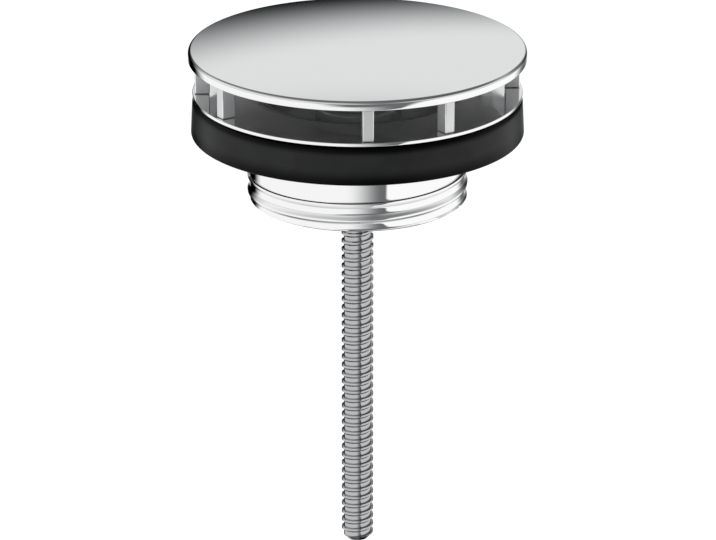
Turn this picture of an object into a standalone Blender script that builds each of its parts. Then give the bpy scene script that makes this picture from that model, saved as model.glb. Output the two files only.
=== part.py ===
"""Basin drain valve: a cover on eight posts over a chromed flange dish, with seal, collar and clamp screw.

Metres, +Z up. The origin is the centre of the rubber seal's underside, where the valve sits on the basin.
Azimuths are counted from the front, -Y, towards +X.
"""

import math

import bmesh
import bpy

# Clearance between pieces that rest on or fit in each other, the overrun of every cut, and the
# distance under which two vertices are one
REST_GAP = 0.0003
OVERRUN = 0.002
WELD_DISTANCE = 0.0000003

# Cover cap: domed top, upright rim, land for the posts, recess and boss
COVER_RADIUS = 0.0323
RIM_HEIGHT = 0.00115
EDGE_ROUND = 0.00065
CROWN_RADIUS = 0.34
LAND_WIDTH = 0.0047
RECESS_DEPTH = 0.0012
BOSS_RADIUS = 0.0034
BOSS_HOLE_RADIUS = 0.0018
BOSS_HOLE_DEPTH = 0.0080
INSERT_THICKNESS = 0.0009

# Cover posts, four pairs of rectangular bars with tenons in the cap's land
WINDOW_HEIGHT = 0.00652
POST_WIDTH = 0.0019
POST_DEPTH = 0.0028
POST_SETBACK = 0.0027
POST_EDGE = 0.00008
TENON_SHOULDER = 0.0004
TENON_LENGTH = 0.0009
post_pairs = 4
pair_azimuth = 18.7
post_half_spacing = 15.0

# Flange dish, pressed from sheet: flat flange, bend, throat and inturned lip
FLANGE_SETBACK = 0.0008
FLANGE_WIDTH = 0.0133
SHEET = 0.0007
BEND_RADIUS = 0.00165
LIP_WIDTH = 0.0015

# Rubber basin seal, its edge a little outside the flange and wider at its foot
SEAL_HEIGHT = 0.00726
SEAL_PROUD = 0.0002
SEAL_TAPER = 0.00035
SEAL_TOP_ROUND = 0.0007
SEAL_FOOT_ROUND = 0.0013

# Threaded collar: neck, ridge thread, shoulder inside and a lower bore
COLLAR_WALL = 0.0020
COLLAR_LENGTH = 0.02036
COLLAR_LOWER_WALL = 0.0028
COLLAR_LOWER_DEPTH = 0.0022
COLLAR_SHOULDER = 0.0013
COLLAR_END_CHAMFER = 0.00055
COLLAR_THREAD_HEIGHT = 0.00045
COLLAR_PITCH = 0.00302
COLLAR_THREAD_START = 0.00014
COLLAR_THREAD_LENGTH = 0.0068
COLLAR_LEAD_IN = 0.0010
collar_crest_share = 0.28
collar_base_share = 0.55

# Bridge across the collar: hub, four arms, seat ring and skirt
HUB_RISE = 0.0138
HUB_BORE = 0.0063
HUB_WALL = 0.0019
HUB_FLOOR = 0.0054
POCKET_DEPTH = 0.0125
RING_HEIGHT = 0.0030
SKIRT_WALL = 0.0019
SKIRT_END = 0.0004
SKIRT_GROOVE_DEPTH = 0.0007
ARM_WIDTH = 0.0030
ARM_HEIGHT = 0.0056
ARM_SETBACK = 0.0003
ARM_BURY = 0.0010
arm_count = 4
arm_azimuth = 45

# Snap ring under the collar's shoulder
CIRCLIP_THICKNESS = 0.0008
CIRCLIP_WIDTH = 0.0020
CIRCLIP_OPENING = 0.0080

# Clamp screw, its washer and its retainer
SCREW_RADIUS = 0.0030
SCREW_BORE_GAP = 0.00035
SCREW_LENGTH = 0.0791
SCREW_PITCH = 0.0017186
SCREW_THREAD_HEIGHT = 0.00044
SCREW_THREAD_START = -0.00031
SCREW_THREAD_RUNOUT = 0.0008
SCREW_SHANK_SPARE = 0.0003
SCREW_END_CHAMFER = 0.0005
SCREW_LEAD_IN = 0.0011
SCREW_HEAD_RADIUS = 0.0050
SCREW_HEAD_HEIGHT = 0.0036
SCREW_SOCKET_RADIUS = 0.0029
SCREW_SOCKET_DEPTH = 0.0022
WASHER_CLEARANCE = 0.0004
WASHER_THICKNESS = 0.0008
RETAINER_WIDTH = 0.00215
RETAINER_THICKNESS = 0.0008
screw_crest_share = 0.35
screw_base_share = 0.80
THREAD_BURY = 0.0003

# Stem that plugs into the hub, with two O-rings and its fixing screw
STEM_HEAD_CLEARANCE = 0.0008
STEM_COLLAR_WIDTH = 0.0025
STEM_COLLAR_THICKNESS = 0.0009
STEM_TIP_CHAMFER = 0.0005
STEM_COUNTERBORE_DEPTH = 0.0024
STEM_WEB = 0.0012
O_RING_SECTION = 0.00070
O_RING_CLEARANCE = 0.00015
LOWER_GROOVE_HEIGHT = 0.0018
UPPER_GROOVE_HEIGHT = 0.0051
FIXING_RADIUS = 0.0015
FIXING_LENGTH = 0.0090
FIXING_HEAD_RADIUS = 0.0026
FIXING_HEAD_HEIGHT = 0.0017
FIXING_SOCKET_RADIUS = 0.0013
FIXING_SOCKET_DEPTH = 0.0010

# Radii that follow from the sizes above
FLANGE_RADIUS = COVER_RADIUS - FLANGE_SETBACK
RECESS_RADIUS = COVER_RADIUS - LAND_WIDTH
POST_CIRCLE = COVER_RADIUS - POST_SETBACK
SEAL_RADIUS = FLANGE_RADIUS + SEAL_PROUD
THROAT_RADIUS = FLANGE_RADIUS - FLANGE_WIDTH
COLLAR_BORE = THROAT_RADIUS + REST_GAP
COLLAR_RADIUS = COLLAR_BORE + COLLAR_WALL
COLLAR_CREST = COLLAR_RADIUS + COLLAR_THREAD_HEIGHT
THROAT_INSIDE = THROAT_RADIUS - SHEET
LIP_RADIUS = THROAT_INSIDE - LIP_WIDTH
SKIRT_RADIUS = LIP_RADIUS - REST_GAP
SKIRT_BORE = SKIRT_RADIUS - SKIRT_WALL
GROOVE_RADIUS = SKIRT_RADIUS - SKIRT_GROOVE_DEPTH
HUB_RADIUS = HUB_BORE + HUB_WALL
SCREW_BORE = SCREW_RADIUS + SCREW_BORE_GAP
STEM_RADIUS = HUB_BORE - REST_GAP

# Heights above the seat plane that follow from the sizes above
FLANGE_UNDERSIDE = SEAL_HEIGHT + REST_GAP
FLOOR = FLANGE_UNDERSIDE + SHEET
LAND = FLOOR + WINDOW_HEIGHT
COLLAR_END = SEAL_HEIGHT - COLLAR_LENGTH
SHOULDER_UNDERSIDE = COLLAR_END + COLLAR_LOWER_DEPTH
LIP_UNDERSIDE = SHOULDER_UNDERSIDE + COLLAR_SHOULDER + REST_GAP
RING_UNDERSIDE = LIP_UNDERSIDE + SHEET + REST_GAP
CIRCLIP_UNDERSIDE = SHOULDER_UNDERSIDE - REST_GAP - CIRCLIP_THICKNESS
HUB_LENGTH = POCKET_DEPTH + HUB_FLOOR
HUB_END = RING_UNDERSIDE + HUB_RISE - HUB_LENGTH
WASHER_UNDERSIDE = HUB_END + HUB_FLOOR + REST_GAP
HEAD_UNDERSIDE = WASHER_UNDERSIDE + WASHER_THICKNESS + REST_GAP
RETAINER_UNDERSIDE = HUB_END - REST_GAP - RETAINER_THICKNESS
STEM_TIP = HEAD_UNDERSIDE + SCREW_HEAD_HEIGHT + STEM_HEAD_CLEARANCE
INSERT_UNDERSIDE = LAND + RECESS_DEPTH - REST_GAP - INSERT_THICKNESS
STEM_TOP = INSERT_UNDERSIDE - REST_GAP
BOSS_END = STEM_TIP + STEM_COUNTERBORE_DEPTH + STEM_WEB + REST_GAP

# Facets round a full turn
LARGE_STEPS = 48
SMALL_STEPS = 24
ROD_STEPS = 10
SECTION_STEPS = 8
ARC_STEPS = 4
SMOOTH_ANGLE = math.radians(35)

# Colour, metallic and roughness of each finish
FINISHES = {
    "chrome": ((0.80, 0.81, 0.82, 1), 1.0, 0.06),
    "brass_plated": ((0.72, 0.73, 0.74, 1), 1.0, 0.18),
    "steel": ((0.50, 0.51, 0.52, 1), 1.0, 0.28),
    "rubber": ((0.022, 0.022, 0.023, 1), 0.0, 0.55),
    "dark_plastic": ((0.035, 0.036, 0.038, 1), 0.0, 0.35),
    "o_ring_rubber": ((0.015, 0.015, 0.015, 1), 0.0, 0.45),
    "fibre": ((0.35, 0.08, 0.05, 1), 0.0, 0.7),
}


def clear_scene():
    for obj in list(bpy.data.objects):
        bpy.data.objects.remove(obj, do_unlink=True)


def new_collection(name):
    group = bpy.data.collections.new(name)
    bpy.context.scene.collection.children.link(group)
    return group


def finish(name):
    """The material of one finish, made on its first use."""
    material = bpy.data.materials.get(name)
    if material is None:
        colour, metallic, roughness = FINISHES[name]
        material = bpy.data.materials.new(name)
        material.use_nodes = True
        shader = material.node_tree.nodes["Principled BSDF"]
        shader.inputs["Base Color"].default_value = colour
        shader.inputs["Metallic"].default_value = metallic
        shader.inputs["Roughness"].default_value = roughness
        material.diffuse_color = colour
    return material


def new_object(name, mesh, group):
    obj = bpy.data.objects.new(name, mesh)
    group.objects.link(obj)
    return obj


def arc(centre, radius, start, end, steps=ARC_STEPS):
    """Points on an arc in the profile plane, angles in degrees from the outward direction."""
    angles = [math.radians(start + (end - start) * i / steps) for i in range(steps + 1)]
    return [(centre[0] + radius * math.cos(a), centre[1] + radius * math.sin(a)) for a in angles]


def outline_mesh(name, points, closed):
    """A profile of edges in the XZ plane from (radius, height) points."""
    mesh = bpy.data.meshes.new(name)
    edges = [(i, i + 1) for i in range(len(points) - 1)]
    if closed:
        edges.append((len(points) - 1, 0))
    mesh.from_pydata([(x, 0, z) for x, z in points], edges, [])
    return mesh


def baked(obj, cap_ends=False):
    """Replaces an object's mesh by its evaluated one and removes its modifiers."""
    graph = bpy.context.evaluated_depsgraph_get()
    mesh = bpy.data.meshes.new_from_object(obj.evaluated_get(graph))
    obj.modifiers.clear()
    obj.data = mesh
    work = bmesh.new()
    work.from_mesh(mesh)
    bmesh.ops.remove_doubles(work, verts=work.verts, dist=WELD_DISTANCE)
    if cap_ends:
        open_edges = [edge for edge in work.edges if edge.is_boundary]
        bmesh.ops.holes_fill(work, edges=open_edges, sides=0)
    bmesh.ops.recalc_face_normals(work, faces=work.faces)
    work.to_mesh(mesh)
    work.free()
    mesh.shade_smooth()
    mesh.set_sharp_from_angle(angle=SMOOTH_ANGLE)
    return obj


def swept(name, points, group, closed, steps, turns=1.0, rise=0.0):
    """A profile turned about Z, through whole or part turns, and lifted by rise while it turns."""
    obj = new_object(name, outline_mesh(name, points, closed), group)
    screw = obj.modifiers.new("turn", "SCREW")
    screw.axis = "Z"
    screw.angle = 2 * math.pi * turns
    screw.steps = round(steps * turns)
    screw.render_steps = screw.steps
    screw.screw_offset = rise
    screw.use_merge_vertices = rise == 0
    screw.merge_threshold = WELD_DISTANCE
    return baked(obj, cap_ends=rise != 0)


def turned(name, points, group, steps, closed=True):
    return swept(name, points, group, closed, steps)


def ridge(name, root, height, pitch, length, start, crest_share, base_share, steps, group):
    """A screw thread's ridge: a right-hand helix of trapezoid section, rising from start at +X.

    Its length is cut to whole facets, and it is turned half a facet along its helix, so that its
    edges cross the middle of the core's facets and not the edges between them.
    """
    turns = math.floor(steps * length / pitch) / steps
    crest = root + height
    foot = root - THREAD_BURY
    half_crest = pitch * crest_share / 2
    half_base = pitch * base_share / 2
    points = [(foot, half_base), (crest, half_crest), (crest, -half_crest), (foot, -half_base)]
    helix = swept(name, points, group, True, steps, turns, pitch * turns)
    helix.rotation_euler.z = math.pi / steps
    helix.location.z = start + pitch / (2 * steps)
    return helix


def box(name, width, depth, height, group):
    """A box that stands on its origin."""
    work = bmesh.new()
    bmesh.ops.create_cube(work, size=1)
    bmesh.ops.translate(work, verts=work.verts, vec=(0, 0, 0.5))
    bmesh.ops.scale(work, verts=work.verts, vec=(width, depth, height))
    mesh = bpy.data.meshes.new(name)
    work.to_mesh(mesh)
    work.free()
    return new_object(name, mesh, group)


def hexagon(name, radius, depth, group):
    """A six-sided cutter whose lower end is its origin."""
    work = bmesh.new()
    bmesh.ops.create_cone(work, cap_ends=True, segments=6, radius1=radius, radius2=radius, depth=depth)
    bmesh.ops.translate(work, verts=work.verts, vec=(0, 0, depth / 2))
    mesh = bpy.data.meshes.new(name)
    work.to_mesh(mesh)
    work.free()
    return new_object(name, mesh, group)


def combine(obj, tool, operation):
    """Joins, cuts or trims obj with tool, which stays as a hidden wire object."""
    boolean = obj.modifiers.new(tool.name, "BOOLEAN")
    boolean.operation = operation
    boolean.object = tool
    boolean.solver = "EXACT"
    tool.hide_render = True
    tool.display_type = "WIRE"


def around(azimuth, radius):
    """The place of an azimuth in degrees on a circle."""
    angle = math.radians(azimuth)
    return radius * math.sin(angle), -radius * math.cos(angle)


def place(obj, height, finish_name, carrier=None):
    obj.location.z = height
    obj.data.materials.clear()
    obj.data.materials.append(finish(finish_name))
    if carrier is not None:
        obj.parent = carrier
    return obj


def cover_cap(parts, tools, carrier):
    """The domed cap: a spherical crown, a rounded edge, an upright rim, a flat land and a hollow boss."""
    slope = math.asin((COVER_RADIUS - EDGE_ROUND) / (CROWN_RADIUS - EDGE_ROUND))
    crown_centre = RIM_HEIGHT - (CROWN_RADIUS - EDGE_ROUND) * math.cos(slope)
    crown_end = 90 - math.degrees(slope)
    crown = arc((0, crown_centre), CROWN_RADIUS, 90, crown_end)
    edge = arc((COVER_RADIUS - EDGE_ROUND, RIM_HEIGHT), EDGE_ROUND, crown_end, 0)
    boss_end = BOSS_END - LAND
    hole_top = boss_end + BOSS_HOLE_DEPTH
    underside = [
        (COVER_RADIUS, 0),
        (RECESS_RADIUS, 0),
        (RECESS_RADIUS, RECESS_DEPTH),
        (BOSS_RADIUS, RECESS_DEPTH),
        (BOSS_RADIUS, boss_end),
        (BOSS_HOLE_RADIUS, boss_end),
        (BOSS_HOLE_RADIUS, hole_top),
        (0, hole_top),
    ]
    cap = turned("cover_cap", crown + edge[1:] + underside, parts, LARGE_STEPS, closed=False)
    for azimuth in post_azimuths():
        socket = box(
            "socket_cutter",
            POST_WIDTH - 2 * TENON_SHOULDER + 2 * REST_GAP,
            POST_DEPTH - 2 * TENON_SHOULDER + 2 * REST_GAP,
            TENON_LENGTH + REST_GAP + OVERRUN,
            tools,
        )
        x, y = around(azimuth, POST_CIRCLE)
        socket.location = (x, y, LAND - OVERRUN)
        socket.rotation_euler.z = math.radians(azimuth)
        combine(cap, socket, "DIFFERENCE")
    return place(cap, LAND, "chrome", carrier)


def post_azimuths():
    """The azimuths in degrees of the eight posts, pair by pair."""
    turns = [pair_azimuth + 360 * pair / post_pairs for pair in range(post_pairs)]
    return [turn + side * post_half_spacing for turn in turns for side in (-1, 1)]


def cover_posts(parts, tools, carrier):
    """Eight bars that stand on the flange, each with a tenon in the cap's land."""
    length = WINDOW_HEIGHT - 2 * REST_GAP
    bar = box("post_bar", POST_WIDTH, POST_DEPTH, length, tools)
    bevel = bar.modifiers.new("edges", "BEVEL")
    bevel.width = POST_EDGE
    bevel.segments = 1
    tenon = box(
        "post_tenon",
        POST_WIDTH - 2 * TENON_SHOULDER,
        POST_DEPTH - 2 * TENON_SHOULDER,
        TENON_LENGTH + REST_GAP + length / 2,
        tools,
    )
    tenon.location.z = length / 2
    combine(bar, tenon, "UNION")
    shared = baked(bar).data
    bpy.data.objects.remove(bar)
    for number, azimuth in enumerate(post_azimuths(), start=1):
        post = new_object(f"cover_post_{number}", shared, parts)
        post.location.x, post.location.y = around(azimuth, POST_CIRCLE)
        post.rotation_euler.z = math.radians(azimuth)
        place(post, FLOOR + REST_GAP, "chrome", carrier)


def cover_insert(parts, carrier):
    """The moulded plate that fills the cap's recess."""
    inner = BOSS_RADIUS + REST_GAP
    outer = RECESS_RADIUS - REST_GAP
    points = [(outer, INSERT_THICKNESS), (outer, 0), (inner, 0), (inner, INSERT_THICKNESS)]
    place(turned("cover_insert", points, parts, LARGE_STEPS), INSERT_UNDERSIDE, "dark_plastic", carrier)


def cover_stem(parts, carrier):
    """The sleeve that plugs into the hub: collar, two O-ring grooves, counterbore, web and bore."""
    top = STEM_TOP - STEM_TIP
    collar = top - STEM_COLLAR_THICKNESS
    groove = HUB_BORE - O_RING_CLEARANCE - 2 * O_RING_SECTION - REST_GAP
    half_groove = O_RING_SECTION + REST_GAP
    counterbore = FIXING_HEAD_RADIUS + REST_GAP
    web_top = STEM_COUNTERBORE_DEPTH + STEM_WEB
    flange = STEM_RADIUS + STEM_COLLAR_WIDTH
    points = [(flange, top), (flange, collar), (STEM_RADIUS, collar)]
    for height in (UPPER_GROOVE_HEIGHT, LOWER_GROOVE_HEIGHT):
        points += [
            (STEM_RADIUS, height + half_groove),
            (groove, height + half_groove),
            (groove, height - half_groove),
            (STEM_RADIUS, height - half_groove),
        ]
    points += [
        (STEM_RADIUS, STEM_TIP_CHAMFER),
        (STEM_RADIUS - STEM_TIP_CHAMFER, 0),
        (counterbore, 0),
        (counterbore, STEM_COUNTERBORE_DEPTH),
        (BOSS_HOLE_RADIUS, STEM_COUNTERBORE_DEPTH),
        (BOSS_HOLE_RADIUS, web_top),
        (BOSS_RADIUS + REST_GAP, web_top),
        (BOSS_RADIUS + REST_GAP, top),
    ]
    place(turned("cover_stem", points, parts, SMALL_STEPS), STEM_TIP, "dark_plastic", carrier)


def stem_screw(parts, tools, carrier):
    """The socket screw that holds the stem to the boss, head downwards."""
    bearing = STEM_TIP + STEM_COUNTERBORE_DEPTH - REST_GAP
    points = [
        (0, FIXING_LENGTH),
        (FIXING_RADIUS, FIXING_LENGTH),
        (FIXING_RADIUS, 0),
        (FIXING_HEAD_RADIUS, 0),
        (FIXING_HEAD_RADIUS, -FIXING_HEAD_HEIGHT),
        (0, -FIXING_HEAD_HEIGHT),
    ]
    screw = turned("stem_screw", points, parts, SMALL_STEPS, closed=False)
    socket = hexagon("fixing_socket", FIXING_SOCKET_RADIUS, FIXING_SOCKET_DEPTH + OVERRUN, tools)
    socket.location.z = bearing - FIXING_HEAD_HEIGHT - OVERRUN
    combine(screw, socket, "DIFFERENCE")
    place(screw, bearing, "steel", carrier)


def stem_o_rings(parts, carrier):
    """Two rubber rings that hold the stem in the hub's bore."""
    centre = HUB_BORE - O_RING_CLEARANCE - O_RING_SECTION
    points = arc((centre, 0), O_RING_SECTION, 360, 0, SECTION_STEPS)[:-1]
    grooves = {"stem_o_ring_lower": LOWER_GROOVE_HEIGHT, "stem_o_ring_upper": UPPER_GROOVE_HEIGHT}
    for name, height in grooves.items():
        place(turned(name, points, parts, SMALL_STEPS), STEM_TIP + height, "o_ring_rubber", carrier)


def flange_dish(parts):
    """The pressed dish: flat flange, rolled entry, throat and a lip that the bridge sits on."""
    bend_centre = (THROAT_RADIUS + BEND_RADIUS, -SHEET - BEND_RADIUS)
    lip = LIP_UNDERSIDE - FLOOR
    points = [(FLANGE_RADIUS, 0), (FLANGE_RADIUS, -SHEET)]
    points += arc(bend_centre, BEND_RADIUS, 90, 180)
    points += [
        (THROAT_RADIUS, lip),
        (LIP_RADIUS, lip),
        (LIP_RADIUS, lip + SHEET),
        (THROAT_INSIDE, lip + SHEET),
    ]
    points += arc(bend_centre, BEND_RADIUS + SHEET, 180, 90)
    place(turned("flange_dish", points, parts, LARGE_STEPS), FLOOR, "chrome")


def basin_seal(parts):
    """The thick rubber ring, slightly wider at its rounded foot."""
    top_radius = SEAL_RADIUS - SEAL_TAPER
    top = arc((top_radius - SEAL_TOP_ROUND, SEAL_HEIGHT - SEAL_TOP_ROUND), SEAL_TOP_ROUND, 90, 0)
    foot = arc((SEAL_RADIUS - SEAL_FOOT_ROUND, SEAL_FOOT_ROUND), SEAL_FOOT_ROUND, 0, -90)
    bore = COLLAR_CREST + REST_GAP
    points = top + foot + [(bore, 0), (bore, SEAL_HEIGHT)]
    place(turned("basin_seal", points, parts, LARGE_STEPS), 0, "rubber")


def threaded_collar(parts, tools):
    """The collar: plain neck, ridge thread, chamfered end, and a shoulder inside for the dish's lip."""
    entry_round = BEND_RADIUS - REST_GAP
    lower_bore = COLLAR_RADIUS - COLLAR_LOWER_WALL
    shoulder_top = COLLAR_LOWER_DEPTH + COLLAR_SHOULDER
    points = [
        (COLLAR_RADIUS, COLLAR_LENGTH),
        (COLLAR_RADIUS, COLLAR_END_CHAMFER),
        (COLLAR_RADIUS - COLLAR_END_CHAMFER, 0),
        (lower_bore, 0),
        (lower_bore, COLLAR_LOWER_DEPTH),
        (LIP_RADIUS, COLLAR_LOWER_DEPTH),
        (LIP_RADIUS, shoulder_top),
        (COLLAR_BORE, shoulder_top),
    ]
    points += arc((COLLAR_BORE + entry_round, COLLAR_LENGTH - entry_round), entry_round, 180, 90)
    collar = turned("threaded_collar", points, parts, LARGE_STEPS)
    thread = ridge(
        "collar_ridge",
        COLLAR_RADIUS,
        COLLAR_THREAD_HEIGHT,
        COLLAR_PITCH,
        COLLAR_THREAD_LENGTH,
        COLLAR_END + COLLAR_THREAD_START,
        collar_crest_share,
        collar_base_share,
        LARGE_STEPS,
        tools,
    )
    envelope = [
        (COLLAR_CREST + OVERRUN, COLLAR_LENGTH),
        (COLLAR_CREST + OVERRUN, COLLAR_END_CHAMFER + COLLAR_LEAD_IN + OVERRUN),
        (COLLAR_RADIUS - THREAD_BURY, COLLAR_END_CHAMFER),
        (COLLAR_RADIUS - OVERRUN, COLLAR_END_CHAMFER),
        (COLLAR_RADIUS - OVERRUN, COLLAR_LENGTH),
    ]
    blank = turned("collar_blank", envelope, tools, LARGE_STEPS)
    blank.location.z = COLLAR_END
    combine(thread, blank, "INTERSECT")
    combine(collar, thread, "UNION")
    place(collar, COLLAR_END, "chrome")


def bridge(parts, tools):
    """The spider that carries the clamp screw: seat ring with skirt, four arms and a deep hub."""
    groove_top = SHOULDER_UNDERSIDE - RING_UNDERSIDE
    groove_end = CIRCLIP_UNDERSIDE - REST_GAP - RING_UNDERSIDE
    skirt_end = groove_end - SKIRT_END
    seat = THROAT_INSIDE - REST_GAP
    points = [
        (seat, RING_HEIGHT),
        (seat, 0),
        (SKIRT_RADIUS, 0),
        (SKIRT_RADIUS, groove_top),
        (GROOVE_RADIUS, groove_top),
        (GROOVE_RADIUS, groove_end),
        (SKIRT_RADIUS, groove_end),
        (SKIRT_RADIUS, skirt_end),
        (SKIRT_BORE, skirt_end),
        (SKIRT_BORE, RING_HEIGHT),
    ]
    ring = turned("bridge", points, parts, LARGE_STEPS)
    hub_points = [
        (HUB_RADIUS, HUB_LENGTH),
        (HUB_RADIUS, 0),
        (SCREW_BORE, 0),
        (SCREW_BORE, HUB_FLOOR),
        (HUB_BORE, HUB_FLOOR),
        (HUB_BORE, HUB_LENGTH),
    ]
    hub = turned("bridge_hub", hub_points, tools, SMALL_STEPS)
    hub.location.z = HUB_END
    inner = HUB_RADIUS - ARM_BURY
    outer = SKIRT_BORE + ARM_BURY
    for number in range(arm_count):
        azimuth = arm_azimuth + 360 * number / arm_count
        arm = box("bridge_arm", ARM_WIDTH, outer - inner, ARM_HEIGHT, tools)
        x, y = around(azimuth, (inner + outer) / 2)
        arm.location = (x, y, RING_UNDERSIDE + RING_HEIGHT - ARM_SETBACK - ARM_HEIGHT)
        arm.rotation_euler.z = math.radians(azimuth)
        combine(ring, arm, "UNION")
    combine(ring, hub, "UNION")
    place(ring, RING_UNDERSIDE, "brass_plated")


def bridge_circlip(parts, tools):
    """The open snap ring in the skirt's groove, under the collar's shoulder."""
    inner = GROOVE_RADIUS + REST_GAP
    outer = inner + CIRCLIP_WIDTH
    points = [
        (outer, CIRCLIP_THICKNESS),
        (outer, 0),
        (inner, 0),
        (inner, CIRCLIP_THICKNESS),
    ]
    ring = turned("bridge_circlip", points, parts, LARGE_STEPS)
    gap = box("circlip_gap", CIRCLIP_OPENING, outer, CIRCLIP_THICKNESS + 2 * OVERRUN, tools)
    gap.location = (0, outer, CIRCLIP_UNDERSIDE - OVERRUN)
    combine(ring, gap, "DIFFERENCE")
    place(ring, CIRCLIP_UNDERSIDE, "steel")


def clamp_screw(parts, tools, carrier):
    """The long screw: socket head, plain shank, ridge thread and chamfered tip."""
    root = SCREW_RADIUS - SCREW_THREAD_HEIGHT
    shank = HEAD_UNDERSIDE - RETAINER_UNDERSIDE + SCREW_SHANK_SPARE
    points = [
        (0, SCREW_HEAD_HEIGHT),
        (SCREW_HEAD_RADIUS, SCREW_HEAD_HEIGHT),
        (SCREW_HEAD_RADIUS, 0),
        (SCREW_RADIUS, 0),
        (SCREW_RADIUS, -shank),
        (root, -shank - SCREW_THREAD_HEIGHT),
        (root, -SCREW_LENGTH + SCREW_END_CHAMFER),
        (root - SCREW_END_CHAMFER, -SCREW_LENGTH),
        (0, -SCREW_LENGTH),
    ]
    screw = turned("clamp_screw", points, parts, ROD_STEPS, closed=False)
    tip = HEAD_UNDERSIDE - SCREW_LENGTH
    thread_length = SCREW_LENGTH - shank - SCREW_THREAD_HEIGHT - SCREW_THREAD_RUNOUT
    thread = ridge(
        "screw_ridge",
        root,
        SCREW_THREAD_HEIGHT,
        SCREW_PITCH,
        thread_length,
        tip + SCREW_THREAD_START,
        screw_crest_share,
        screw_base_share,
        ROD_STEPS,
        tools,
    )
    envelope = [
        (0, SCREW_LENGTH),
        (SCREW_RADIUS + OVERRUN, SCREW_LENGTH),
        (SCREW_RADIUS + OVERRUN, SCREW_END_CHAMFER + SCREW_LEAD_IN + OVERRUN),
        (root - THREAD_BURY, SCREW_END_CHAMFER),
        (0, SCREW_END_CHAMFER),
    ]
    blank = turned("screw_blank", envelope, tools, ROD_STEPS, closed=False)
    blank.location.z = tip
    combine(thread, blank, "INTERSECT")
    combine(screw, thread, "UNION")
    socket = hexagon("clamp_socket", SCREW_SOCKET_RADIUS, SCREW_SOCKET_DEPTH + OVERRUN, tools)
    socket.location.z = HEAD_UNDERSIDE + SCREW_HEAD_HEIGHT - SCREW_SOCKET_DEPTH
    combine(screw, socket, "DIFFERENCE")
    place(screw, HEAD_UNDERSIDE, "steel", carrier)


def flat_ring(name, outer, thickness, height, finish_name, parts, carrier=None):
    """A plain ring round the clamp screw."""
    points = [(outer, thickness), (outer, 0), (SCREW_BORE, 0), (SCREW_BORE, thickness)]
    place(turned(name, points, parts, SMALL_STEPS), height, finish_name, carrier)


def empty_on_axis(name, group):
    """A parent on the valve's axis for the pieces that move together."""
    return new_object(name, None, group)


def build():
    clear_scene()
    parts = new_collection("basin_drain_valve")
    tools = new_collection("cutters")
    cover = empty_on_axis("cover_axis", parts)
    rings = empty_on_axis("seal_ring_axis", parts)
    screw = empty_on_axis("screw_axis", parts)
    cover_cap(parts, tools, cover)
    cover_posts(parts, tools, cover)
    cover_insert(parts, cover)
    cover_stem(parts, cover)
    stem_screw(parts, tools, cover)
    stem_o_rings(parts, rings)
    flange_dish(parts)
    basin_seal(parts)
    threaded_collar(parts, tools)
    bridge(parts, tools)
    bridge_circlip(parts, tools)
    clamp_screw(parts, tools, screw)
    washer = HUB_BORE - WASHER_CLEARANCE
    flat_ring("screw_washer", washer, WASHER_THICKNESS, WASHER_UNDERSIDE, "steel", parts)
    retainer = SCREW_BORE + RETAINER_WIDTH
    flat_ring("screw_retainer", retainer, RETAINER_THICKNESS, RETAINER_UNDERSIDE, "fibre", parts, screw)


build()
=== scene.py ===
"""Looks of the basin drain valve: chromed cover, posts, dish and collar, rubber seal, threaded screw.

Metres, +Z up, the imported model's frame. Azimuths are radians from the front, -Y, towards +X.
Every piece is a surface worked out on a grid: rows along an outline, columns round the axis.
"""

import math

import bmesh
import bpy
import numpy as np
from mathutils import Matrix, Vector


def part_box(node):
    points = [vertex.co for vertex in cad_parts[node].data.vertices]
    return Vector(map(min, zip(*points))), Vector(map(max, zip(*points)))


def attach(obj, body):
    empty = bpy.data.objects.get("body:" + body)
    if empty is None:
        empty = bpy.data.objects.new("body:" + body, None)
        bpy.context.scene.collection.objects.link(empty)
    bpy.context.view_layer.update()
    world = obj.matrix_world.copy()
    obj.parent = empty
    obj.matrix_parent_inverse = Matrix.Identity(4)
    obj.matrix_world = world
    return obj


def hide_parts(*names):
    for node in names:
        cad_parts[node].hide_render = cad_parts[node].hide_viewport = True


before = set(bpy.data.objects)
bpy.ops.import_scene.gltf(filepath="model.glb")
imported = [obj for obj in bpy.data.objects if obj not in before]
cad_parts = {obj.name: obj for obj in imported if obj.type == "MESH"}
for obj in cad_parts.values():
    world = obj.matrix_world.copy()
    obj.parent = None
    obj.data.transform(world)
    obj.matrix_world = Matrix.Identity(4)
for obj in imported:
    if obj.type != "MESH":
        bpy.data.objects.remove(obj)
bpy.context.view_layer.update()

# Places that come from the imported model
COVER_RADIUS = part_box("cover_cap")[1][0]
CROWN_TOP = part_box("cover_cap")[1][2]
BOSS_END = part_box("cover_cap")[0][2]
INSERT_LOW, INSERT_HIGH = (corner[2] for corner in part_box("cover_insert"))
STEM_TIP, STEM_TOP = (corner[2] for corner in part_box("cover_stem"))
STEM_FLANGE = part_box("cover_stem")[1][0]
FIXING_LOW, FIXING_HIGH = (corner[2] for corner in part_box("stem_screw"))
FLANGE_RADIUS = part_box("flange_dish")[1][0]
LIP_LOW, FLOOR = (corner[2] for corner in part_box("flange_dish"))
SEAL_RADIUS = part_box("basin_seal")[1][0]
SEAL_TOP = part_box("basin_seal")[1][2]
COLLAR_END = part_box("threaded_collar")[0][2]
HUB_END, HUB_TOP = (corner[2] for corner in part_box("bridge"))
CLIP_LOW, CLIP_HIGH = (corner[2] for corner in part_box("bridge_circlip"))
CLIP_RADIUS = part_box("bridge_circlip")[1][0]
SCREW_TIP, HEAD_TOP = (corner[2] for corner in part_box("clamp_screw"))
WASHER_LOW, WASHER_HIGH = (corner[2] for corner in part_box("screw_washer"))
WASHER_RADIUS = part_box("screw_washer")[1][0]
RETAINER_LOW, RETAINER_HIGH = (corner[2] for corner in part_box("screw_retainer"))
RETAINER_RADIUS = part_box("screw_retainer")[1][0]

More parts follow.
